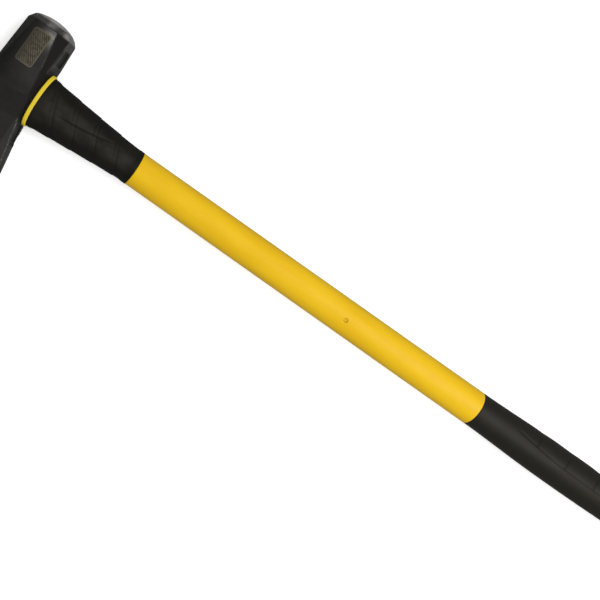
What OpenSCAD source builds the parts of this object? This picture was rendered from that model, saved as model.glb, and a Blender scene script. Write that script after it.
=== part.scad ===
// Splitting sledgehammer with a bonded fibreglass handle, lying on one cheek.
// +X runs from the head to the butt, +Y towards the striking face, +Z through the cheeks.
// The origin is where the eye's centre line crosses the resting cheek, at the head's mid-plane.

/* [Head] */
// Thickness across the two cheeks
head_t = 49; // [46:0.5:52]
// Distance from the head's mid-plane to its top face
head_top = 24.8; // [24:0.1:26]
// Distance from the head's mid-plane to the seat around the handle
seat_x = 26.3; // [25.5:0.1:27.5]
// Distance from the head's mid-plane to its underside at the poll's bevel
poll_under = 25.7; // [24:0.1:26]
// Highest point of the crowned striking face, above the handle's axis
crown_y = 75.5; // [72:0.1:80]
// Radius of the striking face's crown
crown_r = 58; // [50:1:80]
// Where the bevel round the striking face starts
bevel_y = 64.6; // [61:0.1:67]
// Leg of the poll's corner chamfers at that bevel
corner_leg = 12.5; // [8:0.5:14]
// Where the corner chamfers run out
runout_y = -12; // [-20:1:0]

/* [Wedge] */
// Reach of the cutting edge below the handle's axis
edge_y = 135; // [120:1:150]
// Reach of the cutting edge on the top side
edge_top = 31; // [27:1:36]
// Reach of the cutting edge on the handle side
edge_under = 50; // [40:1:54]
// Thickness left at the cutting edge
edge_t = 2; // [1:0.5:4]
// Where the ground bevel of the cutting edge starts
grind_y = 121; // [112:1:126]
// Slope of each ground face, in degrees from the wedge's mid-plane
grind_angle = 14; // [12:1:18]
// Where the flat cheeks end and the wedge starts
cheek_y = -4; // [-8:1:-2]
// Sideways slope of the wedge's corners, in degrees
corner_slope = 13; // [8:1:18]

/* [Eye] */
// Half the eye's height at the seat, across the handle
eye_h = 16.5; // [16:0.25:18]
// Half the eye's width at the seat, between the cheeks
eye_w = 13.5; // [13:0.25:15]
// How much each half grows towards the top of the head
eye_taper = 1.6; // [1:0.1:2.5]
// Depth of the cap's recess at the top of the eye
cap_depth = 3; // [2:0.5:5]
// Thickness of the dam washer in the eye's mouth
dam_t = 3; // [2:0.5:5]

/* [Handle] */
// Half the fibreglass core's height
core_h = 12.5; // [11:0.25:13]
// Half the fibreglass core's width
core_w = 10.5; // [9:0.25:11]
// Half the jacket's height where it shows
jacket_h = 18; // [17.5:0.1:18.5]
// Half the jacket's width where it shows
jacket_w = 15.8; // [15:0.1:16.5]
// How much thinner the jacket is under the rubber
rebate = 2.5; // [2:0.1:3]
// Overall reach of the handle, from the head's mid-plane to the butt
butt_x = 888; // [800:1:900]
// Distance from the head's mid-plane to the moulding dimple
dimple_x = 405.7; // [300:1:500]

/* [Rubber] */
// Thickness of the collar ring
collar_t = 4.8; // [4:0.1:6]
// Half the collar ring's height
collar_h = 29.2; // [28:0.1:31]
// Half the collar ring's width
collar_w = 15; // [14.5:0.1:16]
// Thickness of the dam's flange, between the head and the collar ring
flange_t = 1.3; // [0.8:0.1:2]
// How far the rubber stands proud of the jacket beside it
proud = 0.2; // [0:0.05:0.5]
// Half the sleeve's height at the collar
sleeve_h = 28; // [26:0.1:28.5]
// Where the sleeve ends, at the handle's sides
sleeve_end = 146.4; // [120:0.1:170]
// Where the grip starts, at the handle's sides
grip_start = 561; // [520:0.5:600]
// How far the rubber's edges run out towards the cheeks, per millimetre of width
edge_rake = 0.3; // [0:0.01:0.4]
// How far the seat and the sleeve's edge are turned about the cheeks' normal, in degrees
seat_skew = 1.3; // [0:0.1:2]
// Half the grip's height at its swell
grip_h = 19.9; // [18.5:0.1:20]
// Half the grip's height at the butt's knob
knob_h = 22.5; // [20:0.1:24]
// Depth that the butt cap's plug goes into the grip
plug_depth = 10; // [6:1:14]
// Distance from the head's mid-plane to the grip's swell
swell_x = 648; // [620:1:680]
// Distance from the head's mid-plane to the grip's waist
waist_x = 795; // [740:1:810]
// Distance from the head's mid-plane to the fullest part of the knob
knob_x = 866; // [850:1:872]
// Half the grip's height at its waist
waist_h = 18; // [17.5:0.1:19]

/* [Hidden] */
$fn = 48;

mid = head_t / 2;             // height of the handle's axis above the resting cheek
reach = 400;                  // larger than the head, for the cutting blocks
sides = 48;                   // points round an oval section
step = 8;                     // distance between rubber sections
collar_x = seat_x + flange_t; // where the collar ring starts
sleeve_x = collar_x + collar_t; // where the sleeve starts
cap_floor = cap_depth - head_top; // floor of the recess at the top of the eye
sleeve_curve = 1.15;          // exponent of the sleeve's flare
knob_round = 2;               // how much the knob rounds in at the butt
cap_x = butt_x - 4;           // where the butt cap's flange meets the grip
cap_h = knob_h - knob_round - 0.5; // half the height of the butt cap's flange
core_end = cap_x - plug_depth; // end of the core and the jacket, inside the grip
dent = 0.6;                   // depth of the flats beside the seat
dent_len = 20;                // length of each flat along the head
dent_half = 12;               // half the width of each flat
seat_half = 30;               // half the length of the seat around the handle
seat_rise = seat_half * tan(seat_skew); // how far the seat's ends lie off its middle
seat_lip = 0.1;               // how far the seat stands out above the underside at the poll
flare_lip = 0.9;              // how far the wedge's underside stands out beside the seat
flare_x = seat_x + seat_rise + flare_lip; // the underside where the wedge's flare starts
flare_curve = 1.12;           // exponent of the flare along the wedge
flat_y = seat_half + 6;       // where the underside leaves the seat, towards the poll

// ---------- shapes that several pieces share ----------

// Oval outline: half-height h along Y, half-width w along Z.
module oval(h, w) polygon([for (k = [0:sides - 1]) [w * sin(360 * k / sides), h * cos(360 * k / sides)]]);

// Straight oval bar from x0 to x1 on the handle's axis.
module oval_bar(x0, x1, h, w)
    translate([x0, 0, mid]) rotate([0, 90, 0]) linear_extrude(x1 - x0) oval(h, w);

// Radius of the eye's round ends at x: it grows towards the top of the head.
function eye_r(x) = eye_w + eye_taper * (seat_x - x) / (seat_x + head_top);

// Stretch of the tapered eye from x0 to x1, as a solid.
module eye_bar(x0, x1) {
    offset_y = eye_h - eye_w;
    for (s = [-1, 1]) translate([x0, s * offset_y, mid]) rotate([0, 90, 0])
        cylinder(h = x1 - x0, r1 = eye_r(x0), r2 = eye_r(x1));
    translate([0, offset_y, mid]) rotate([90, 0, 0]) linear_extrude(2 * offset_y)
        polygon([[x0, -eye_r(x0)], [x1, -eye_r(x1)], [x1, eye_r(x1)], [x0, eye_r(x0)]]);
}

// The same thing on both sides of the head's mid-plane.
module both_cheeks() {
    children();
    translate([0, 0, head_t]) mirror([0, 0, 1]) children();
}

// Everything outside the plane through a, b and c, as seen from the middle of the head.
module beyond(a, b, c) {
    normal = cross(b - a, c - a);
    out = normal * (a - [0, 0, mid]) < 0 ? -normal : normal;
    translate(a) rotate([0, acos(out[2] / norm(out)), atan2(out[1], out[0])])
        translate([-reach / 2, -reach / 2, 0]) cube(reach);
}

// Turns what lies on the seat with it, about the handle's axis at x.
module skewed(x) translate([x, 0, 0]) rotate([0, 0, seat_skew]) translate([-x, 0, 0]) children();

// Region on one side of an edge that is raked towards the cheeks: side -1 is towards the head.
module raked_region(x, side)
    translate([x, 0, mid]) rotate([90, 0, 0]) translate([0, 0, -60]) linear_extrude(120)
        polygon([[edge_rake * 40, -40], [0, 0], [edge_rake * 40, 40], [side * reach, 40],
                 [side * reach, -40]]);

// Smooth step from 0 at a to 1 at b.
function ease(a, b, x) = let (t = min(max((x - a) / (b - a), 0), 1)) t * t * (3 - 2 * t);

// Closed skin through oval sections at the places xs, with half-height h[i] and half-width w[i].
module skin(xs, h, w) {
    n = len(xs);
    ring = [for (i = [0:n - 1]) for (k = [0:sides - 1]) let (a = 360 * k / sides)
        [xs[i], h[i] * cos(a), mid + w[i] * sin(a)]];
    wall = [for (i = [0:n - 2]) for (k = [0:sides - 1]) let (m = (k + 1) % sides)
        [i * sides + k, (i + 1) * sides + k, (i + 1) * sides + m, i * sides + m]];
    polyhedron(ring, concat([[for (k = [0:sides - 1]) k]], wall,
        [[for (k = [0:sides - 1]) n * sides - 1 - k]]));
}

// ---------- the head ----------

// How far down the wedge y is: 0 at the seat's lower end, 1 at the cutting edge.
function down(y) = (-y - seat_half) / (edge_y - seat_half);

// The underside and the top face at y. Both flare from the seat to the edge along a curve.
function under_x(y) = y > 0
    ? seat_x - seat_lip - (seat_x - seat_lip - poll_under) * (y - flat_y) / (bevel_y - flat_y)
    : flare_x + (edge_under - flare_x) * pow(down(y), flare_curve);
function top_x(y) = -head_top - (edge_top - head_top) * pow(down(y), 2);

// Places along the wedge where the side outline has a point.
wedge_ys = [for (i = [0:8]) -seat_half - (edge_y - seat_half) * i / 8];

// Side outline of the head.
outline = concat([[-head_top, crown_y + 5], [poll_under, crown_y + 5], [poll_under, bevel_y],
    [under_x(flat_y), flat_y], [seat_x - seat_rise, seat_half], [seat_x + seat_rise, -seat_half]],
    [for (y = wedge_ys) [under_x(y), y]],
    [for (i = [8:-1:0]) [top_x(wedge_ys[i]), wedge_ys[i]]]);

// Half-thickness of the wedge's middle, where the ground bevel starts.
grind_half = edge_t / 2 + (edge_y - grind_y) * tan(grind_angle);

// Half-thickness along the head, at the middle of the cheeks.
cheek_line = [[-edge_y - 1, edge_t / 2], [-edge_y, edge_t / 2], [-grind_y, grind_half],
    [-30, 19.6], [cheek_y, mid], [crown_y + 5, mid]];
profile = concat([for (p = cheek_line) [p[0], mid + p[1]]],
    [for (i = [len(cheek_line) - 1:-1:0]) [cheek_line[i][0], mid - cheek_line[i][1]]]);

// Half-thickness along the handle side's edge, below the chamfers.
corner_line = [[-edge_y - 1, 6], [-edge_y, 6], [-69, 10.9], [-51, 11.6], [-28, 15.2], [1, mid],
    [crown_y + 5, mid + 30]];

module corner_cut(x)
    translate([x, 0, mid]) rotate([0, corner_slope, 0]) translate([-60, 0, 0])
        rotate([90, 0, 90]) linear_extrude(120)
            polygon(concat([for (p = corner_line) [p[0], p[1] * cos(corner_slope)]],
                [[crown_y + 5, 90], [-edge_y - 1, 90]]));

module poll_chamfer(x, seat)
    beyond([x - sign(x) * corner_leg, bevel_y, head_t], [x, bevel_y, head_t - corner_leg],
        [seat, runout_y, head_t]);

// The four planes of the 45 degree bevel round the striking face, on the upper half.
module poll_bevel() {
    beyond([0, bevel_y, head_t], [10, bevel_y, head_t], [0, bevel_y + 10, head_t - 10]);
    for (p = [[-head_top, bevel_y - 1.4], [poll_under, bevel_y]])
        beyond([p[0], p[1], 0], [p[0], p[1], 10], [p[0] - sign(p[0]) * 10, p[1] + 10, 0]);
}

// Shallow flats on the underside, one on each side of the seat.
module under_flats()
    for (y = [flat_y + 0.5, -seat_half - dent_len])
        translate([0, 0, mid - dent_half]) linear_extrude(2 * dent_half)
            polygon([[under_x(y) - dent, y], [under_x(y) + 20, y],
                [under_x(y + dent_len) + 20, y + dent_len], [under_x(y + dent_len) - dent, y + dent_len]]);

// Recess at the top of the eye, from x0 to its floor.
module cap_bar(x0) oval_bar(x0, cap_floor, eye_h + eye_taper + 2, eye_w + eye_taper + 2);

module head() color([0.12, 0.12, 0.13])
    difference() {
        intersection() {
            linear_extrude(head_t) polygon(outline);
            translate([-80, 0, 0]) rotate([90, 0, 90]) linear_extrude(160) polygon(profile);
            translate([0, crown_y - crown_r, mid]) union() {
                sphere(crown_r, $fn = 96);
                translate([-80, -300, -80]) cube([160, 300 + crown_r * 0.7, 160]);
            }
        }
        both_cheeks() {
            poll_chamfer(poll_under, seat_x);
            poll_chamfer(-head_top, -head_top);
            poll_bevel();
            corner_cut(seat_x);
            mirror([1, 0, 0]) corner_cut(head_top);
        }
        under_flats();
        eye_bar(-head_top - 1, seat_x + 1);
        cap_bar(-head_top - 1);
    }

module eye_resin() color([0.75, 0.62, 0.30])
    difference() {
        eye_bar(cap_floor, seat_x - dam_t);
        oval_bar(cap_floor - 1, seat_x, core_h, core_w);
    }

// The dam plugs the eye's mouth, and its flange lies between the head and the collar ring.
module eye_dam() color([0.25, 0.25, 0.25])
    difference() {
        union() {
            eye_bar(seat_x - dam_t, seat_x);
            skewed(seat_x) oval_bar(seat_x, collar_x, collar_h - 1.2, collar_w - 1.2);
        }
        oval_bar(0, collar_x + 1, core_h, core_w);
    }

module eye_cap() color([0.90, 0.72, 0.14]) cap_bar(-head_top);

// ---------- the handle ----------

module handle_core() color([0.80, 0.76, 0.62])
    oval_bar(cap_floor, core_end, core_h, core_w);

module handle_jacket() color([0.93, 0.72, 0.12])
    difference() {
        union() {
            difference() {
                oval_bar(seat_x, core_end, jacket_h - rebate, jacket_w - rebate);
                skewed(seat_x) oval_bar(seat_x - 5, collar_x, collar_h, collar_w);
            }
            difference() {
                oval_bar(sleeve_end - 5, grip_start + 20, jacket_h, jacket_w);
                skewed(sleeve_end) raked_region(sleeve_end, -1);
                raked_region(grip_start, 1);
            }
        }
        oval_bar(seat_x - 1, butt_x, core_h, core_w);
        translate([dimple_x, -2.6, mid + jacket_w - 0.6]) cylinder(h = 5, r = 2.4);
    }

module collar_ring() color([0.93, 0.74, 0.12])
    difference() {
        skewed(seat_x) oval_bar(collar_x, sleeve_x, collar_h, collar_w);
        oval_bar(collar_x - 1, sleeve_x + 1, jacket_h - rebate, jacket_w - rebate);
    }

function sleeve_half_h(x) = jacket_h + proud + (sleeve_h - jacket_h - proud)
    * pow(max(sleeve_end - x, 0) / (sleeve_end - sleeve_x), sleeve_curve);

module overstrike_sleeve() color([0.16, 0.16, 0.16]) {
    xs = [sleeve_x - 4, for (x = [sleeve_x:step:sleeve_end + 4]) x, sleeve_end + 20];
    difference() {
        skin(xs, [for (x = xs) sleeve_half_h(x)], [for (x = xs) jacket_w + proud]);
        oval_bar(sleeve_x - 1, sleeve_end + 30, jacket_h - rebate, jacket_w - rebate);
        skewed(seat_x) oval_bar(seat_x - 10, sleeve_x, 2 * sleeve_h, 2 * sleeve_h);
        skewed(sleeve_end) raked_region(sleeve_end, 1);
    }
}

// The grip starts flush with the jacket, swells, thins to a waist and ends in the butt's knob.
function grip_half_h(x) = jacket_h + (grip_h - jacket_h) * ease(grip_start, swell_x, x)
    + (waist_h - grip_h) * ease(swell_x + 20, waist_x, x) + (knob_h - waist_h) * ease(waist_x, knob_x, x)
    - knob_round * ease(knob_x + 6, butt_x, x);

module grip_sleeve() color([0.20, 0.20, 0.19]) {
    xs = [grip_start - 10, for (x = [grip_start:step:cap_x - 1]) x, cap_x];
    difference() {
        skin(xs, [for (x = xs) grip_half_h(x)],
            [for (x = xs) grip_half_h(x) - (jacket_h - jacket_w)]);
        oval_bar(grip_start - 12, cap_x + 1, jacket_h - rebate, jacket_w - rebate);
        raked_region(grip_start, -1);
    }
}

module butt_cap() color([0.10, 0.10, 0.10]) {
    oval_bar(core_end, cap_x, jacket_h - rebate, jacket_w - rebate);
    oval_bar(cap_x, butt_x, cap_h, cap_h - (jacket_h - jacket_w));
}

head();
eye_resin();
eye_dam();
eye_cap();
handle_core();
handle_jacket();
collar_ring();
overstrike_sleeve();
grip_sleeve();
butt_cap();
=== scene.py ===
"""Looks of the splitting sledgehammer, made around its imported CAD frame. Lengths are in metres.

+X runs from the head to the butt, +Y towards the striking face, +Z through the cheeks.
"""
import math

import bpy
import numpy as np
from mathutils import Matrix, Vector, noise
from mathutils.bvhtree import BVHTree


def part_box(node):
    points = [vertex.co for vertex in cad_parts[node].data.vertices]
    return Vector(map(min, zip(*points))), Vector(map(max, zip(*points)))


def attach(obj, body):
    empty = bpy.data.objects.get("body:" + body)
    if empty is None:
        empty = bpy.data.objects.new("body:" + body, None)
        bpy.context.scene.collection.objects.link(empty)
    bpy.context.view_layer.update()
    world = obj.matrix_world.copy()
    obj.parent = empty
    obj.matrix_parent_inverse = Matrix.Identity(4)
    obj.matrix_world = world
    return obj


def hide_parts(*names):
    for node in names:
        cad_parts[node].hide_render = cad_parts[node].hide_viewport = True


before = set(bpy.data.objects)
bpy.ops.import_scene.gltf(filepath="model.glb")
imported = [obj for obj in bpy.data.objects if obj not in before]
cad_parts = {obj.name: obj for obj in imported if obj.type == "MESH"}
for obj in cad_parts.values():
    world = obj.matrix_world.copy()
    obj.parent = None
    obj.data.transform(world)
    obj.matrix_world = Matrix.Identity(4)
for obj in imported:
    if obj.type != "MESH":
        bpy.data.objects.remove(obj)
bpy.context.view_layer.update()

MM = 0.001

# ---------- places and sizes, most of them read from the frame ----------

jacket_low, jacket_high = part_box("handle_jacket")
AXIS = (jacket_low.z + jacket_high.z) / 2     # height of the handle's axis
JACKET_H = (jacket_high.y - jacket_low.y) / 2  # half-sizes of the jacket where it shows
JACKET_W = (jacket_high.z - jacket_low.z) / 2
NECK = 2.5 * MM                               # how much thinner the jacket is under the rubber
NECK_H, NECK_W = JACKET_H - NECK, JACKET_W - NECK
SKEW = math.tan(math.radians(1.3))            # the seat's turn about the cheeks' normal
RAKE = 0.3                                    # how far the rubber's edges run out over the cheeks
RING_LEAN = 0.055                             # the same for the ring's edge against the sleeve
LEAN_REACH = 40 * MM                          # how far from the rubber's edges the jacket follows them
SOFT = 2 * MM                                 # radius that softens the edges' turn at the mid-plane

ring_low, ring_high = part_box("collar_ring")
RING_START = ring_low.x + SKEW * ring_high.y
RING_END = ring_high.x - SKEW * ring_high.y

sleeve_low, sleeve_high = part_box("overstrike_sleeve")
SLEEVE_END = sleeve_high.x - math.hypot(RAKE * JACKET_W, SKEW * JACKET_H)
LINE_START = 47.6 * MM                        # the first of the sleeve's slanted lines, at the axis
LINE_SPACING = 25.3 * MM
LINE_SLANT = -0.38

grip_low, grip_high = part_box("grip_sleeve")
butt_low, butt_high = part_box("butt_cap")
cap_low, cap_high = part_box("eye_cap")
head_low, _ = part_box("head")
GRIND_START = head_low.y + 14 * MM            # Y where the cutting edge's ground faces start
BEVEL = 65 * MM                               # Y of the bevel round the striking face
UNDERSIDE = 24 * MM                           # X just inside the head's underside
SEAT_HALF = 28 * MM                           # half the length of the seat round the collar
POCKETS = (46.1 * MM, -42 * MM)               # Y of the two shallow pockets beside the collar
POCKET_Z = AXIS - 1.5 * MM
POCKET_HALF_Y = 10.8 * MM
POCKET_HALF_Z = 7.5 * MM
POCKET_DEPTH = 1.0 * MM

DIMPLE = Vector((405.7, -2.6)) * MM           # the moulding dimple on the jacket's upper side
AROUND = 220                                  # points round an oval section
BORE_STEP = 20 * MM                           # distance between sections that don't show
VOXEL = 0.75 * MM                             # size of the head's faces
MIDDLE = (0.45, 0.0, 0.0)                     # about the middle of the tool, on the floor

# ---------- colours ----------

BLACK_COAT = (0.0098, 0.0095, 0.0086)
# Painted shade, for the cheeks towards the head's top.
PAINTED_SHADE_COAT = (0.003, 0.003, 0.0035)
# Painted sheen with rubbing wear, for the cheeks and the wedge.
RUBBED_AND_SHEEN_COAT = (0.0285, 0.0275, 0.025)
SPECKLED_COAT = (0.026, 0.0255, 0.024)
UNDERSIDE_COAT = (0.027, 0.0265, 0.025)
LAND_COAT = (0.062, 0.059, 0.054)             # the underside beside the striking face's bevel
# Painted shade, for the pockets beside the collar.
POCKET_SHADE_COAT = (0.004, 0.004, 0.004)
# Scraping wear with a painted highlight, for one corner of the cheeks.
WORN_AND_HIGHLIGHT_CORNER = (0.22, 0.212, 0.19)
PANEL, HATCHING = (0.033, 0.029, 0.021), (0.134, 0.115, 0.083)
DARK_STEEL, LIGHT_STEEL = (0.2, 0.193, 0.187), (0.36, 0.35, 0.34)
POLISHED_STEEL = (0.62, 0.60, 0.57)
# Rubber: the first colour of each pair is painted top light with dust; the deep one also stands as painted
# shade on the sides and ends.
TOP_LIGHT_AND_DUST_RUBBER, DEEP_RUBBER = (0.0288, 0.0273, 0.0222), (0.0062, 0.006, 0.0048)
TOP_LIGHT_AND_DUST_GRIP, DEEP_GRIP = (0.0215, 0.0176, 0.0118), (0.0125, 0.0112, 0.0083)
# Darker rubber in grooves: dirt with painted shade.
DIRT_AND_SHADE_RUBBER = (0.004, 0.004, 0.004)
HANDLE_YELLOWS = (0.79, 0.49, 0.011), (0.75, 0.45, 0.008)
RING_YELLOWS = (0.84, 0.64, 0.042), (0.80, 0.60, 0.036)
# Darker yellow in hollows: dirt with painted shade.
DIRT_AND_SHADE_YELLOW = (0.36, 0.19, 0.005)
DARK_RESIN, LIGHT_RESIN = (0.42, 0.28, 0.08), (0.62, 0.47, 0.18)
DARK_STRAND, LIGHT_STRAND = (0.50, 0.44, 0.28), (0.72, 0.67, 0.48)

# ---------- mesh helpers ----------


def surface_of(node):
    """A CAD node's surface, for measuring it."""
    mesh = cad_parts[node].data
    return BVHTree.FromPolygons([v.co for v in mesh.vertices], [p.vertices for p in mesh.polygons])


def half_sizes_of(node, first, last):
    """A function that gives a CAD piece's half-height and half-width near x, evened out along X."""
    surface = surface_of(node)

    def measured(x, out):
        start = Vector((min(max(x, first), last), 0, AXIS)) + out * 0.2
        return 0.2 - surface.ray_cast(start, -out)[3]

    def half_sizes(x):
        near = [x + shift * MM for shift in (-6, -3, 0, 3, 6)]
        return [sum(measured(n, out) for n in near) / len(near)
                for out in (Vector((0, 1, 0)), Vector((0, 0, 1)))]

    return half_sizes


def oval(x, h, w, rake=0.0, skew=0.0):
    """Ring of points on an oval: half-height h along Y, half-width w along Z. Rake and skew lean it."""
    ring = []
    for k in range(AROUND):
        turn = 2 * math.pi * k / AROUND
        y, z = h * math.cos(turn), w * math.sin(turn)
        bend = w * (math.hypot(z, SOFT) - SOFT) / (math.hypot(w, SOFT) - SOFT)
        ring.append(Vector((x + rake * bend - skew * y, y, AXIS + z)))
    return ring


def sink(ring, h, w, depth_at):
    """Moves a ring's points in along the oval's normals, by depth_at(point)."""
    for p in ring:
        out = Vector((0, p.y / h ** 2, (p.z - AXIS) / w ** 2)).normalized()
        p -= out * depth_at(p)


def places(start, end, spacing):
    """Evenly spaced places from start to end, both included."""
    count = max(1, round((end - start) / spacing))
    return [start + (end - start) * i / count for i in range(count + 1)]


def rounded(x, radius, towards, steps=5):
    """(place, inset) along a quarter-round edge that ends at x; towards is 1 for a butt-side edge."""
    turns = [math.pi / 2 * i / steps for i in range(steps + 1)]
    edge = [(x - towards * radius * (1 - math.sin(t)), radius * (1 - math.cos(t))) for t in turns]
    return edge if towards > 0 else edge[::-1]


def loft(name, rings, hollow):
    """A closed piece through rings of points. A hollow one joins its last ring to its first."""
    count = len(rings[0])
    points = [p for ring in rings for p in ring]
    pairs = [(i, (i + 1) % len(rings)) for i in range(len(rings) if hollow else len(rings) - 1)]
    faces = [(a * count + k, b * count + k, b * count + (k + 1) % count, a * count + (k + 1) % count)
             for a, b in pairs for k in range(count)]
    if not hollow:
        faces.append(tuple(range(count)))
        faces.append(tuple(reversed(range(len(points) - count, len(points)))))
    mesh = bpy.data.meshes.new(name)
    mesh.from_pydata(points, [], faces)
    mesh.validate()
    return piece_of(name, mesh)


def piece_of(name, mesh):
    """A smooth-shaded object of that mesh, sharp only where two faces meet at a clear angle."""
    mesh.shade_smooth()
    mesh.set_sharp_from_angle(angle=math.radians(50))
    piece = bpy.data.objects.new(name, mesh)
    bpy.context.scene.collection.objects.link(piece)
    return piece


def keep_relief(piece, depth_at):
    """Stores the depth of the moulded pattern, in millimetres, for the material."""
    depths = [depth_at(v.co) / MM for v in piece.data.vertices]
    piece.data.attributes.new("relief", "FLOAT", "POINT").data.foreach_set("value", depths)
    return piece


def hand_over(piece, node, material):
    """The piece stands for that CAD node, with its material, on the one body."""
    piece.data.materials.clear()
    piece.data.materials.append(material)
    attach(piece, "root")
    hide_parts(node)


def groove(distance, half_width, depth):
    """Depth of a round-bottomed groove at that distance from its middle line."""
    return depth * math.exp(-(distance / half_width) ** 2)


def smooth_step(low, high, value):
    t = min(max((value - low) / (high - low), 0), 1)
    return t * t * (3 - 2 * t)


def unevenness(point, size, depth):
    """From 0 to depth: slow changes of a moulded or forged surface, size long."""
    return depth * (0.5 + 0.5 * noise.noise(point / size))


# ---------- materials ----------


class Finish:
    """One material: a Principled shader, and helpers for the nodes that feed it."""

    def __init__(self, name, **constants):
        self.material = bpy.data.materials.new(name)
        self.material.use_nodes = True
        self.tree = self.material.node_tree
        self.shader = self.tree.nodes["Principled BSDF"]
        for socket, value in constants.items():
            self.shader.inputs[socket.replace("_", " ")].default_value = value
        self.place = self.node("ShaderNodeTexCoord").outputs["Object"]

    def node(self, kind, **settings):
        made = self.tree.nodes.new(kind)
        for key, value in settings.items():
            setattr(made, key, value)
        return made

    def feed(self, socket, source):
        """Puts a node's output, a number or a colour into a socket."""
        if isinstance(source, bpy.types.NodeSocket):
            self.tree.links.new(source, socket)
        else:
            socket.default_value = source

    def math(self, operation, a, b=0.0):
        made = self.node("ShaderNodeMath", operation=operation)
        self.feed(made.inputs[0], a)
        self.feed(made.inputs[1], b)
        return made.outputs[0]

    def noise(self, size, detail=3.0, stretch=(1, 1, 1)):
        """Noise with features about size long, stretched along the axes."""
        scaled = self.node("ShaderNodeMapping")
        self.feed(scaled.inputs["Vector"], self.place)
        scaled.inputs["Scale"].default_value = [1 / s for s in stretch]
        made = self.node("ShaderNodeTexNoise")
        self.feed(made.inputs["Vector"], scaled.outputs[0])
        made.inputs["Scale"].default_value = 1 / size
        made.inputs["Detail"].default_value = detail
        return made.outputs["Fac"]

    def ramp(self, value, low, high, start=0.0, end=1.0):
        """start where value is low, end where it is high, smooth in between."""
        made = self.node("ShaderNodeMapRange", interpolation_type="SMOOTHSTEP")
        self.feed(made.inputs["Value"], value)
        for socket, number in zip(("From Min", "From Max", "To Min", "To Max"), (low, high, start, end)):
            self.feed(made.inputs[socket], number)
        return made.outputs[0]

    def mix(self, share, a, b):
        made = self.node("ShaderNodeMix", data_type="RGBA")
        self.feed(made.inputs[0], share)
        for socket, colour in ((made.inputs[6], a), (made.inputs[7], b)):
            self.feed(socket, colour if isinstance(colour, bpy.types.NodeSocket) else (*colour, 1.0))
        return made.outputs[2]

    def axes(self):
        """The three coordinates of the shaded point."""
        made = self.node("ShaderNodeSeparateXYZ")
        self.feed(made.inputs[0], self.place)
        return made.outputs

    def facing(self):
        """The three parts of the surface's own direction."""
        made = self.node("ShaderNodeSeparateXYZ")
        self.feed(made.inputs[0], self.node("ShaderNodeTexCoord").outputs["Normal"])
        return made.outputs

    def box_mask(self, value, centre, half):
        """1 within half of the centre, falling to 0 over a millimetre."""
        away = self.math("ABSOLUTE", self.math("SUBTRACT", value, centre))
        return self.ramp(away, half + MM / 2, half - MM / 2)

    def product(self, *sources):
        made = sources[0]
        for source in sources[1:]:
            made = self.math("MULTIPLY", made, source)
        return made

    def attribute(self, name):
        return self.node("ShaderNodeAttribute", attribute_name=name).outputs["Fac"]

    def bump(self, height, distance, strength=1.0, under=None):
        made = self.node("ShaderNodeBump")
        self.feed(made.inputs["Height"], height)
        made.inputs["Distance"].default_value = distance
        made.inputs["Strength"].default_value = strength
        if under is not None:
            self.feed(made.inputs["Normal"], under)
        return made.outputs[0]

    def finish(self, **sources):
        for socket, source in sources.items():
            self.feed(self.shader.inputs[socket.replace("_", " ")], source)
        return self.material


def coated_steel():
    """Black-coated forging, worn bare at its striking face and ground bright at its cutting edge."""
    f = Finish("coated_steel", Specular_IOR_Level=0.1)
    x, y, z = f.axes()
    aside = f.math("ABSOLUTE", y)
    blotches = f.noise(8 * MM, detail=5)
    scuffs = f.noise(2.2 * MM, detail=4)
    grain = f.noise(0.7 * MM, detail=2)
    brushed = f.noise(0.5 * MM, detail=3, stretch=(1, 30, 30))
    ground = f.ramp(y, GRIND_START + 0.5 * MM, GRIND_START - MM)
    bare = f.math("MAXIMUM", worn_bare(f, x, y, aside, blotches, scuffs), ground)
    steel = f.mix(f.mix(ground, grain, brushed), DARK_STEEL, LIGHT_STEEL)
    steel = f.mix(f.ramp(y, BEVEL + 5.5 * MM, BEVEL + 7.5 * MM), steel, POLISHED_STEEL)
    coat = coat_colour(f, (x, y, z), aside, blotches, scuffs)
    seat = f.product(f.ramp(x, UNDERSIDE - 2 * MM, UNDERSIDE),
                     f.ramp(aside, SEAT_HALF + 6 * MM, SEAT_HALF))
    roughness = f.math("ADD", f.ramp(blotches, 0.3, 0.7, 0.42, 0.55), f.math("MULTIPLY", seat, 0.35))
    forged = f.bump(grain, 0.05 * MM, 0.5, under=f.bump(blotches, 0.2 * MM, 0.3))
    return f.finish(Base_Color=f.mix(bare, coat, steel), Metallic=f.math("MULTIPLY", bare, 0.8),
                    Roughness=roughness,
                    Normal=f.bump(f.product(brushed, ground), 0.03 * MM, under=forged))


def worn_bare(f, x, y, aside, blotches, scuffs):
    """Where the coat is worn off: the edges round the poll, and the striking face in patches."""
    rim = f.math("MAXIMUM", f.ramp(y, BEVEL + MM, BEVEL + 4 * MM),
                 f.product(f.ramp(x, UNDERSIDE - 12 * MM, UNDERSIDE - 3 * MM),
                           f.ramp(aside, SEAT_HALF - 4 * MM, SEAT_HALF + 2 * MM, 0.0, 0.4)))
    edge = f.product(f.ramp(f.attribute("wear"), 0.15, 0.7), f.ramp(scuffs, 0.35, 0.6, 0.3, 1.0), rim)
    from_spot = f.math("ABSOLUTE", f.math("SUBTRACT", x, 4 * MM))
    lower_side = f.ramp(x, UNDERSIDE - 8 * MM, UNDERSIDE - 5 * MM)
    crown = f.ramp(y, BEVEL + 4.5 * MM, BEVEL + 6 * MM)
    patches = f.math("MAXIMUM", f.ramp(from_spot, 7 * MM, 2 * MM, 0.2, 0.8),
                     f.math("MAXIMUM", lower_side, crown))
    dulled = f.product(f.ramp(blotches, 0.3, 0.65, 0.6, 1.0), f.ramp(scuffs, 0.35, 0.6, 0.75, 1.0))
    face = f.product(f.ramp(y, BEVEL - 1.5 * MM, BEVEL + 1.5 * MM), dulled, patches)
    return f.math("MAXIMUM", edge, face)


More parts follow.
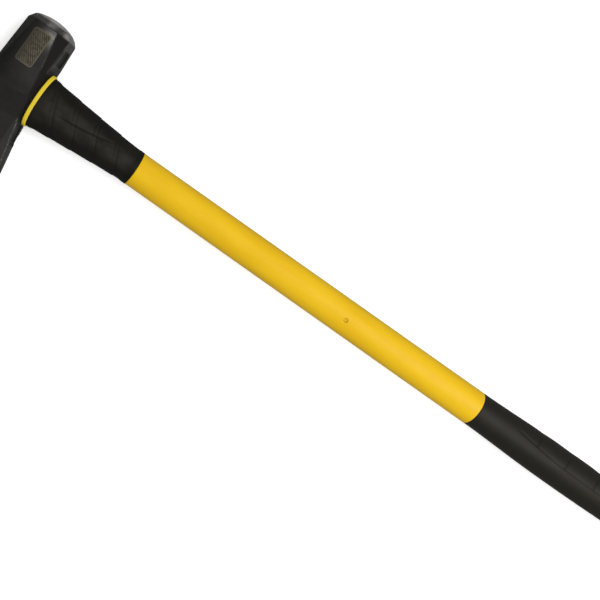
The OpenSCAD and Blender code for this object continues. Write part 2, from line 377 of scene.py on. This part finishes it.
def coat_colour(f, place, aside, blotches, scuffs):
    """The coat: lighter on the cheeks and the wedge (painted sheen with some rubbing wear), painted shade
    towards the head's top, a painted highlight with scraping at one corner, painted shade in the pockets.
    """
    x, y, z = place
    facing_up = f.math("ABSOLUTE", f.facing()[2])
    on_cheek = f.ramp(facing_up, 0.985, 0.998)
    # Painted sheen with some rubbing wear: the cheeks lighten towards the underside and away from the
    # middle, the wedge's faces too, in blotches.
    cheek = f.product(on_cheek, f.ramp(x, -20 * MM, 16 * MM), f.ramp(aside, 0.0, 14 * MM, 0.55, 1.0))
    wedge = f.product(f.ramp(facing_up, 0.8, 0.9), f.ramp(y, 2 * MM, -4 * MM, 0.0, 0.33))
    rubbed_and_sheen = f.product(f.math("MAXIMUM", cheek, wedge), f.ramp(blotches, 0.3, 0.7, 0.75, 1.0))
    # Painted shade: the cheeks darken towards the head's top (-X).
    shaded = f.product(on_cheek, f.ramp(x, -2 * MM, -18 * MM, 0.0, 0.6))
    speckled = f.ramp(f.noise(1.6 * MM, detail=3), 0.55, 0.75, 0.0, 0.3)

    # Painted highlight with scraping wear: the cheeks' corner between the poll and the underside lightens.
    towards_corner = f.product(f.ramp(x, -11 * MM, 11.5 * MM), f.ramp(y, 34 * MM, 60 * MM))
    corner = f.product(f.math("POWER", towards_corner, 2.0), on_cheek,
                       f.ramp(scuffs, 0.3, 0.65, 0.7, 1.0), f.ramp(y, 58.5 * MM, 62 * MM, 1.0, 0.5))

    # Painted shade: the pockets are coloured darker than the coat.
    beside_collar = f.math("MAXIMUM", *(f.box_mask(y, middle, POCKET_HALF_Y) for middle in POCKETS))
    pocket = f.product(beside_collar, f.box_mask(z, POCKET_Z, POCKET_HALF_Z),
                       f.ramp(x, UNDERSIDE - 4 * MM, UNDERSIDE - MM))
    under = f.product(f.ramp(x, UNDERSIDE - 0.2 * MM, UNDERSIDE + 0.5 * MM),
                      f.ramp(aside, SEAT_HALF - 4 * MM, SEAT_HALF), f.math("SUBTRACT", 1.0, pocket))
    land = f.mix(f.ramp(y, 52 * MM, 57 * MM), UNDERSIDE_COAT, LAND_COAT)
    mark, lines = hatch_panel(f, x, y, z)

    coat = f.mix(rubbed_and_sheen, f.mix(shaded, BLACK_COAT, PAINTED_SHADE_COAT), RUBBED_AND_SHEEN_COAT)
    for share, colour in ((speckled, SPECKLED_COAT), (f.math("MULTIPLY", under, 0.8), land),
                          (f.math("MULTIPLY", pocket, 0.8), POCKET_SHADE_COAT), (corner, WORN_AND_HIGHLIGHT_CORNER),
                          (mark, f.mix(lines, PANEL, HATCHING))):
        coat = f.mix(share, coat, colour)
    return coat


def hatch_panel(f, x, y, z):
    """Masks of a plain etched panel on the upper cheek: the panel, and the fine hatching inside it."""
    middle, half, corner = Vector((1.1, 39.5)) * MM, Vector((10.0, 19.0)) * MM, 3 * MM
    spacing, inset = 0.9 * MM, 0.8 * MM
    over = []
    for value, centre, size in ((x, middle.x, half.x), (y, middle.y, half.y)):
        away = f.math("ABSOLUTE", f.math("SUBTRACT", value, centre))
        over.append(f.math("MAXIMUM", f.math("SUBTRACT", away, size - corner), 0.0))
    reach = f.math("SQRT", f.math("ADD", f.math("POWER", over[0], 2.0), f.math("POWER", over[1], 2.0)))
    upper = f.ramp(z, AXIS, AXIS + MM)
    # The panel fades towards the head's top (-X), into the cheek's painted shade there.
    panel = f.product(f.ramp(reach, corner, corner - 0.3 * MM), upper,
                      f.ramp(x, -13 * MM, -3 * MM, 0.3, 1.0))
    from_border = f.math("ABSOLUTE", f.math("SUBTRACT", reach, corner - inset))
    border = f.ramp(from_border, 0.5 * MM, 0.25 * MM)
    across = f.math("ADD", f.math("MULTIPLY", x, 0.8), f.math("MULTIPLY", y, 0.6))
    slant = f.math("PINGPONG", across, spacing)
    hatch = f.math("MULTIPLY", f.ramp(slant, 0.3 * MM, 0.6 * MM),
                   f.ramp(f.noise(3 * MM), 0.3, 0.6, 0.25, 0.9))
    # The hatching dims towards the head's top (-X), with the same painted shade.
    return panel, f.product(f.math("MAXIMUM", border, hatch), f.ramp(x, -9 * MM, 6 * MM, 0.45, 1.0))


def polymer(name, colours, roughness):
    """Moulded yellow polymer: slight flow marks, scuffs along the handle, a fine grain, and darker in its
    hollows (dirt with painted shade).
    """
    f = Finish(name, Specular_IOR_Level=0.14)
    flow = f.noise(14 * MM, detail=3, stretch=(4, 1, 1))
    scuffs = f.noise(0.9 * MM, detail=3, stretch=(12, 1, 1))
    grain = f.noise(0.4 * MM, detail=2)
    light, deep = colours
    colour = f.mix(f.ramp(flow, 0.3, 0.7), deep, light)
    # Darker in hollows: dirt with painted shade.
    sunk_dirt_and_shade = f.ramp(f.attribute("relief"), 0.1, 0.6, 0.0, 0.55)
    return f.finish(Base_Color=f.mix(sunk_dirt_and_shade, colour, DIRT_AND_SHADE_YELLOW),
                    Roughness=f.ramp(scuffs, 0.35, 0.75, roughness, roughness + 0.15),
                    Normal=f.bump(grain, 0.02 * MM, 0.4))


def rubber(name, light, deep, roughness, gloss, start, end):
    """Moulded rubber: matte, with patches of dust and painted top light where it faces up, down or towards
    the butt, painted shade on its sides and at its ends, darker in its grooves (dirt with painted shade).
    """
    f = Finish(name, Specular_IOR_Level=gloss)
    x, _, _ = f.axes()
    out, _, up = f.facing()
    dust = f.noise(13 * MM, detail=5, stretch=(1.6, 1, 1))
    grain = f.noise(0.45 * MM, detail=3)
    lumps = f.bump(f.noise(2 * MM, detail=4), 0.3 * MM, 0.4)
    # Painted top light: the rubber is lighter where it faces up, down or towards the butt, darker on its
    # sides.
    painted_top_light = f.math("POWER", f.math("MAXIMUM", f.math("ABSOLUTE", up), f.math("MULTIPLY", out, 0.95)), 12.0)
    # Painted shade: the rubber darkens at its ends, next to its neighbours.
    inside = f.product(f.ramp(x, start, start + 14 * MM, 0.35, 1.0),
                       f.ramp(x, end, end - 6 * MM, 0.4, 1.0))
    dust_and_top_light = f.product(f.math("MAXIMUM", painted_top_light, 0.22), f.ramp(dust, 0.35, 0.65, 0.45, 1.0), inside)
    # Darker in grooves: dirt with painted shade.
    sunk_dirt_and_shade = f.ramp(f.attribute("relief"), 0.05, 0.45, 0.0, 0.6)
    return f.finish(Base_Color=f.mix(sunk_dirt_and_shade, f.mix(dust_and_top_light, deep, light), DIRT_AND_SHADE_RUBBER),
                    Roughness=f.ramp(dust, 0.3, 0.7, roughness, roughness + 0.12),
                    Normal=f.bump(grain, 0.06 * MM, 0.6, under=lumps))


def resin():
    f = Finish("resin", Roughness=0.18)
    cloud = f.noise(4 * MM, detail=4)
    return f.finish(Base_Color=f.mix(cloud, DARK_RESIN, LIGHT_RESIN))


def fibreglass():
    f = Finish("fibreglass")
    strands = f.noise(0.6 * MM, detail=4, stretch=(60, 1, 1))
    return f.finish(Base_Color=f.mix(strands, DARK_STRAND, LIGHT_STRAND),
                    Roughness=f.ramp(strands, 0.3, 0.7, 0.28, 0.45),
                    Normal=f.bump(strands, 0.08 * MM, 0.5))


# ---------- the head ----------


def relax(points, edges, rounds):
    """Moves each point half-way to the mean of its neighbours, a number of times."""
    neighbours = np.bincount(edges.ravel(), minlength=len(points))[:, None]
    for _ in range(rounds):
        total = np.zeros_like(points)
        np.add.at(total, edges[:, 0], points[edges[:, 1]])
        np.add.at(total, edges[:, 1], points[edges[:, 0]])
        points = (points + total / neighbours) / 2
    return points


def nearest_to(surface, points):
    """The nearest place on a surface to each point, and how far away it is."""
    found = [surface.find_nearest(p) for p in points]
    return np.array([hit[0] for hit in found]), np.array([hit[3] for hit in found])


def pocket_depth(p):
    """Depth of the shallow pockets in the head's underside, one each side of the collar."""
    out, within = 0.4 * MM, 0.6 * MM
    from_middle = min(abs(p.y - middle) for middle in POCKETS)
    along = smooth_step(POCKET_HALF_Y + out, POCKET_HALF_Y - within, from_middle)
    across = smooth_step(POCKET_HALF_Z + out, POCKET_HALF_Z - within, abs(p.z - POCKET_Z))
    return POCKET_DEPTH * along * across * smooth_step(UNDERSIDE - 4 * MM, UNDERSIDE - 2 * MM, p.x)


def forged_head():
    """The CAD head as a forging: even small faces, rounded edges and slight hollows."""
    raw = bpy.data.objects.new("raw_head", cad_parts["head"].data.copy())
    bpy.context.scene.collection.objects.link(raw)
    remesh = raw.modifiers.new("even_faces", "REMESH")
    remesh.mode = "VOXEL"
    remesh.voxel_size = VOXEL
    graph = bpy.context.evaluated_depsgraph_get()
    mesh = bpy.data.meshes.new_from_object(raw.evaluated_get(graph))
    bpy.data.objects.remove(raw)
    mesh.name = "forged_head"

    points = np.zeros(len(mesh.vertices) * 3)
    mesh.vertices.foreach_get("co", points)
    edges = np.zeros(len(mesh.edges) * 2, int)
    mesh.edges.foreach_get("vertices", edges)
    edges = edges.reshape(-1, 2)
    surface = surface_of("head")
    points, _ = nearest_to(surface, points.reshape(-1, 3))
    rounded_off = relax(points, edges, 3)
    _, worn_away = nearest_to(surface, relax(rounded_off, edges, 5))
    mesh.vertices.foreach_set("co", rounded_off.ravel())
    mesh.update()
    wear = mesh.attributes.new("wear", "FLOAT", "POINT")
    wear.data.foreach_set("value", np.clip(worn_away / (0.4 * MM), 0, 1))
    hollows = [v.normal * (unevenness(v.co, 16 * MM, 0.25 * MM) + unevenness(v.co, 5 * MM, 0.06 * MM))
               for v in mesh.vertices]
    for vertex, hollow in zip(mesh.vertices, hollows):
        vertex.co.x -= pocket_depth(vertex.co)
        vertex.co -= hollow
    return piece_of("forged_head", mesh)


def eye_plug():
    """The polymer cap in the top of the eye, dished a little."""
    h, w = (cap_high.y - cap_low.y) / 2, (cap_high.z - cap_low.z) / 2
    rings = [oval(cap_high.x, h, w)]
    rings += [oval(x, h - inset, w - inset) for x, inset in reversed(rounded(cap_low.x, 0.9 * MM, -1))]
    for share in (0.92, 0.89, 0.86, 0.83, 0.8, 0.77, 0.6, 0.4, 0.2, 0.1):
        dish = 1.0 * MM * smooth_step(0.92, 0.78, share)
        rings.append(oval(cap_low.x + dish, h * share, w * share))

    # A painted shade line only: the yellow darkens along the dish's sloping edge; the cap has no groove
    # here.
    def rim_shade_line(p):
        from_middle = math.hypot(p.y, (p.z - AXIS) * h / w)
        return groove(from_middle - 0.86 * h, 0.9 * MM, 0.5 * MM)

    return keep_relief(loft("eye_plug", rings, hollow=False), rim_shade_line)


# ---------- the handle ----------


def dimple_depth(p):
    """The gate dimple on the jacket's upper side: a round hollow with a low boss in its middle."""
    if p.z < AXIS:
        return 0.0
    away = Vector((p.x, p.y)) - DIMPLE
    boss = smooth_step(1.7 * MM, 0.9 * MM, (away + Vector((0.7, 0.0)) * MM).length)
    return 0.8 * MM * smooth_step(2.8 * MM, 2.0 * MM, away.length) * (1 - 0.75 * boss)


def jacket():
    """The jacket: its neck under the sleeve, the part that shows, and its tail inside the grip."""
    bore_h, bore_w = NECK_H - 3 * MM, NECK_W - 2.8 * MM
    rings = [oval(x, NECK_H, NECK_W, skew=SKEW) for x in places(RING_START, SLEEVE_END, BORE_STEP)[:-1]]
    rings.append(oval(SLEEVE_END, NECK_H, NECK_W, rake=RAKE, skew=SKEW))
    lips = (rounded(SLEEVE_END, 0.5 * MM, -1), rounded(grip_low.x, 0.5 * MM, 1))
    start, end = lips[0][-1][0], lips[1][0][0]
    near, far = DIMPLE.x - 4 * MM, DIMPLE.x + 4 * MM
    shown = (places(start, near, 2 * MM)[1:] + places(near, far, 0.3 * MM)[1:]
             + places(far, end, 2 * MM)[1:-1])
    for x, inset in lips[0] + [(x, 0.0) for x in shown] + lips[1]:
        skew = SKEW * smooth_step(SLEEVE_END + LEAN_REACH, SLEEVE_END, x)
        ring = oval(x, JACKET_H - inset, JACKET_W - inset, rake=RAKE * lean_at(x), skew=skew)
        sink(ring, JACKET_H, JACKET_W, dimple_depth)
        rings.append(ring)
    rings.append(oval(grip_low.x, NECK_H, NECK_W, rake=RAKE))
    rings += [oval(x, NECK_H, NECK_W) for x in places(grip_low.x + BORE_STEP, jacket_high.x, BORE_STEP)]
    rings += [oval(x, bore_h, bore_w) for x in places(RING_START, jacket_high.x, BORE_STEP)[::-1][:-1]]
    rings.append(oval(RING_START, bore_h, bore_w, skew=SKEW))
    return keep_relief(loft("jacket", rings, hollow=True), dimple_depth)


def lean_at(x):
    """The share of the edges' rake at x: 1 at the rubber's edges, 0 well away from them."""
    return max(smooth_step(SLEEVE_END + LEAN_REACH, SLEEVE_END, x),
               smooth_step(grip_low.x - LEAN_REACH, grip_low.x, x))


def collar():
    """The yellow ring between the head and the sleeve, with rounded rims, thinner at the handle's sides."""
    h, w = ring_high.y, (ring_high.z - ring_low.z) / 2
    rim = 0.9 * MM
    middle = places(RING_START + rim, RING_END - rim, 0.6 * MM)[1:-1]
    profile = rounded(RING_START, rim, -1) + [(x, 0.0) for x in middle] + rounded(RING_END, rim, 1)
    rings = []
    for x, inset in profile:
        lean = RING_LEAN * (x - RING_START) / (RING_END - RING_START)
        rings.append(oval(x - lean * w, h - inset, w - inset, rake=lean, skew=SKEW))
    rings.append(oval(RING_END - RING_LEAN * w, NECK_H, NECK_W, rake=RING_LEAN, skew=SKEW))
    rings.append(oval(RING_START, NECK_H, NECK_W, skew=SKEW))
    return loft("collar", rings, hollow=True)


def sleeve_grooves(p):
    """Depth of the sleeve's lines: slanted pairs across it, and a long curved one that joins them."""
    pair, last_line = 4.2 * MM, 3
    along = p.x - LINE_SLANT * p.y - LINE_START
    nearest = along - LINE_SPACING * max(0, min(last_line, round(along / LINE_SPACING)))
    across = sum(groove(nearest - shift, 0.75 * MM, 0.3 * MM) for shift in (0.0, pair))
    reach = (p.x - LINE_START) / (71 * MM)
    line = (-1.8 + 10.8 * reach * abs(reach)) * MM
    ends = smooth_step(-0.1, 0.35, reach) * smooth_step(1.1, 0.75, reach)
    return across * smooth_step(20 * MM, 15 * MM, abs(p.y)) + groove(p.y - line, 0.9 * MM, 0.5 * MM) * ends


def sleeve_relief(p):
    """Depth of the sleeve's moulded pattern: its lines, stepped bands and a small raised bar."""
    plain, patterned = 3 * MM, 9 * MM
    bar_x, bar_y, bar_slope = 105 * MM, 1.6 * MM, 0.25
    along = (p.x - LINE_SLANT * p.y - LINE_START) / LINE_SPACING
    band = along - math.floor(along)
    step = 0.45 * MM * (1 - band) * smooth_step(0.0, 0.05, band)
    bar = smooth_step(4.6 * MM, 3.9 * MM, abs(p.x - bar_x)) * smooth_step(
        1.3 * MM, 0.7 * MM, abs(p.y - bar_y - bar_slope * (p.x - bar_x)))
    fade = smooth_step(RING_END + plain, RING_END + patterned, p.x) * smooth_step(
        SLEEVE_END - plain, SLEEVE_END - patterned, p.x)
    return fade * (step + sleeve_grooves(p) + 0.4 * MM * (1 - bar)) + unevenness(p, 9 * MM, 0.08 * MM)


def sleeve_section(x, h, w, side):
    """An oval of the sleeve, leaning with the ring at one end and with the jacket's edge at the other.

    side is the half-width at which the ring's lean leaves x as it is.
    """
    share = (x - RING_END) / (SLEEVE_END - RING_END)
    lean = RING_LEAN * (1 - share)
    return oval(x - lean * side, h, w, rake=RAKE * share + lean, skew=SKEW)


def sleeve():
    """The rubber overstrike sleeve: it tapers from the collar down to the jacket."""
    half_sizes = half_sizes_of("overstrike_sleeve", sleeve_low.x + 2 * MM, SLEEVE_END - MM)
    lip = 0.5 * MM
    main = places(RING_END + lip, SLEEVE_END - lip, 0.6 * MM)[1:-1]
    profile = rounded(RING_END, lip, -1) + [(x, 0.0) for x in main] + rounded(SLEEVE_END, lip, 1)
    rings = []
    for x, inset in profile:
        h, w = half_sizes(x)
        ring = sleeve_section(x, h - inset, w - inset, w)
        sink(ring, h, w, sleeve_relief)
        rings.append(ring)
    _, side = half_sizes(RING_END)
    rings += [sleeve_section(x, NECK_H, NECK_W, side)
              for x in places(RING_END, SLEEVE_END, BORE_STEP)[::-1]]
    return keep_relief(loft("sleeve", rings, hollow=True), sleeve_grooves)


def grip_pattern(p):
    """The grip's lines and pads: the depth of its grooves, and of the hollows between its pads."""
    start, end, bend = 608 * MM, 850 * MM, 84 * MM
    first_pad, pad = 597.2 * MM, 34.8 * MM
    curve = max(0.0, 1 - (p.x - start) / bend, 1 - (end - p.x) / bend)
    line = (1.25 + 7.0 * curve ** 2) * MM
    ends = smooth_step(start - 4 * MM, start + 6 * MM, p.x) * smooth_step(end + 4 * MM, end - 6 * MM, p.x)
    pads = smooth_step(line, line + 1.5 * MM, p.y) * ends
    along = (p.x - first_pad) / pad
    band = along - math.floor(along)
    across = groove(min(band, 1 - band) * pad, 0.9 * MM, 0.4 * MM) * smooth_step(15 * MM, 12 * MM, p.y)
    lines = groove(p.y - line, 1.0 * MM, 0.4 * MM) * ends + across * pads
    return lines, 0.35 * MM * (2 * band - 1) ** 2 * pads


def grip_relief(p):
    return sum(grip_pattern(p)) + unevenness(p, 11 * MM, 0.1 * MM)


def grip():
    """The rubber grip: it swells, thins to a waist and ends in the butt's knob."""
    half_sizes = half_sizes_of("grip_sleeve", grip_low.x + 6 * MM, grip_high.x - 0.5 * MM)
    lip, end_lip = 0.6 * MM, 1.6 * MM
    main = places(grip_low.x + lip, grip_high.x - end_lip, 0.9 * MM)[1:-1]
    profile = rounded(grip_low.x, lip, -1) + [(x, 0.0) for x in main] + rounded(grip_high.x, end_lip, 1)
    rings = []
    for x, inset in profile:
        h, w = half_sizes(x)
        rake = RAKE * smooth_step(grip_low.x + 60 * MM, grip_low.x, x)
        ring = oval(x, h - inset, w - inset, rake=rake)
        sink(ring, h, w, grip_relief)
        rings.append(ring)
    rings += [oval(x, NECK_H, NECK_W)
              for x in places(grip_low.x + BORE_STEP, grip_high.x, BORE_STEP)[::-1]]
    rings.append(oval(grip_low.x, NECK_H, NECK_W, rake=RAKE))
    return keep_relief(loft("grip", rings, hollow=True), lambda p: grip_pattern(p)[0])


def butt():
    """The rubber cap that closes the butt: its plug, its flange and a shallow ring in its end."""
    h, w = butt_high.y, (butt_high.z - butt_low.z) / 2
    chamfer, edge = 0.3 * MM, 2 * MM
    rings = [oval(x, NECK_H, NECK_W) for x in (butt_low.x, grip_high.x)]
    rings += [oval(x, h - inset, w - inset) for x, inset in
              [(grip_high.x, chamfer), (grip_high.x + chamfer, 0.0)] + rounded(butt_high.x, edge, 1)]
    inner_h, inner_w = h - edge, w - edge
    for share in places(0.96, 0.08, -0.04):
        ring_groove = groove((share - 0.72) * inner_h, 0.8 * MM, 0.6 * MM)
        rings.append(oval(butt_high.x - ring_groove, inner_h * share, inner_w * share))
    return loft("butt", rings, hollow=False)


# ---------- the stage ----------


def floor():
    """A white table under the resting cheek, lit from below a little more towards its far edges."""
    half, below = 9.0, -0.2 * MM
    near, far, near_glow, far_glow = 0.5, 1.5, 0.42, 0.8
    mesh = bpy.data.meshes.new("floor")
    corners = [(x * half, y * half, below) for x, y in ((-1, -1), (1, -1), (1, 1), (-1, 1))]
    mesh.from_pydata(corners, [], [(0, 1, 2, 3)])
    f = Finish("pale_floor", Roughness=0.9, Specular_IOR_Level=0.0, Emission_Color=(1.0, 1.0, 1.0, 1.0))
    from_middle = f.node("ShaderNodeVectorMath", operation="DISTANCE")
    f.feed(from_middle.inputs[0], f.place)
    from_middle.inputs[1].default_value = MIDDLE
    glow = f.ramp(from_middle.outputs["Value"], near, far, near_glow, far_glow)
    mesh.materials.append(f.finish(Base_Color=(0.9, 0.9, 0.9, 1.0), Emission_Strength=glow))
    plane = bpy.data.objects.new("floor", mesh)
    plane.visible_diffuse = False
    plane.visible_glossy = False
    bpy.context.scene.collection.objects.link(plane)


def soft_light(name, place, target, width, depth, brightness):
    """A rectangular softbox of that brightness, aimed at target."""
    light = bpy.data.lights.new(name, "AREA")
    light.shape, light.size, light.size_y = "RECTANGLE", width, depth
    light.energy = brightness * math.pi * width * depth
    lamp = bpy.data.objects.new(name, light)
    lamp.location = place
    lamp.rotation_euler = (Vector(place) - Vector(target)).to_track_quat("Z", "Y").to_euler()
    bpy.context.scene.collection.objects.link(lamp)


def studio():
    """Even light from all round, a softbox overhead towards the butt, and a white backdrop."""
    scene = bpy.context.scene
    scene.view_settings.view_transform = "Standard"
    scene.world = bpy.data.worlds.new("studio")
    scene.world.use_nodes = True
    nodes, links = scene.world.node_tree.nodes, scene.world.node_tree.links
    background = nodes["Background"]
    background.inputs["Color"].default_value = (1.0, 1.0, 1.0, 1.0)
    seen = nodes.new("ShaderNodeMapRange")    # white where the camera sees it, dimmer as a light
    seen.inputs["To Min"].default_value = 0.4
    links.new(nodes.new("ShaderNodeLightPath").outputs["Is Camera Ray"], seen.inputs["Value"])
    links.new(seen.outputs[0], background.inputs["Strength"])
    soft_light("overhead", (1.0, 0.2, 1.8), MIDDLE, width=1.5, depth=1.1, brightness=6.2)


def camera():
    """The view from straight above, turned so that the head is at the upper left."""
    height, shown_width, turn = 1.15, 0.6, math.radians(35.235)
    above = Vector((357.2, -12.05)) * MM
    lens = bpy.data.cameras.new("camera")
    lens.sensor_width = 36
    lens.lens = lens.sensor_width * height / shown_width
    eye = bpy.data.objects.new("camera", lens)
    eye.location = (above.x, above.y, AXIS + height)
    eye.rotation_euler = (0, 0, turn)
    bpy.context.scene.collection.objects.link(eye)
    bpy.context.scene.camera = eye


# ---------- everything put together ----------

camera()
studio()
floor()

dark_rubber = rubber("dark_rubber", TOP_LIGHT_AND_DUST_RUBBER, DEEP_RUBBER, roughness=0.55, gloss=0.07,
                     start=RING_END - 8 * MM, end=SLEEVE_END)
grip_rubber = rubber("grip_rubber", TOP_LIGHT_AND_DUST_GRIP, DEEP_GRIP, roughness=0.45, gloss=0.13,
                     start=grip_low.x, end=butt_high.x + 8 * MM)
handle_yellow = polymer("handle_yellow", HANDLE_YELLOWS, roughness=0.38)
ring_yellow = polymer("ring_yellow", RING_YELLOWS, roughness=0.4)

hand_over(forged_head(), "head", coated_steel())
hand_over(eye_plug(), "eye_cap", ring_yellow)
hand_over(jacket(), "handle_jacket", handle_yellow)
hand_over(collar(), "collar_ring", ring_yellow)
hand_over(sleeve(), "overstrike_sleeve", dark_rubber)
hand_over(grip(), "grip_sleeve", grip_rubber)
hand_over(butt(), "butt_cap", grip_rubber)

for node, slot, material in (("eye_resin", "epoxy", resin()), ("eye_dam", "dam_rubber", dark_rubber),
                             ("handle_core", "fibreglass", fibreglass())):
    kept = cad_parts[node]
    kept.data.materials.clear()
    kept.data.materials.append(material)
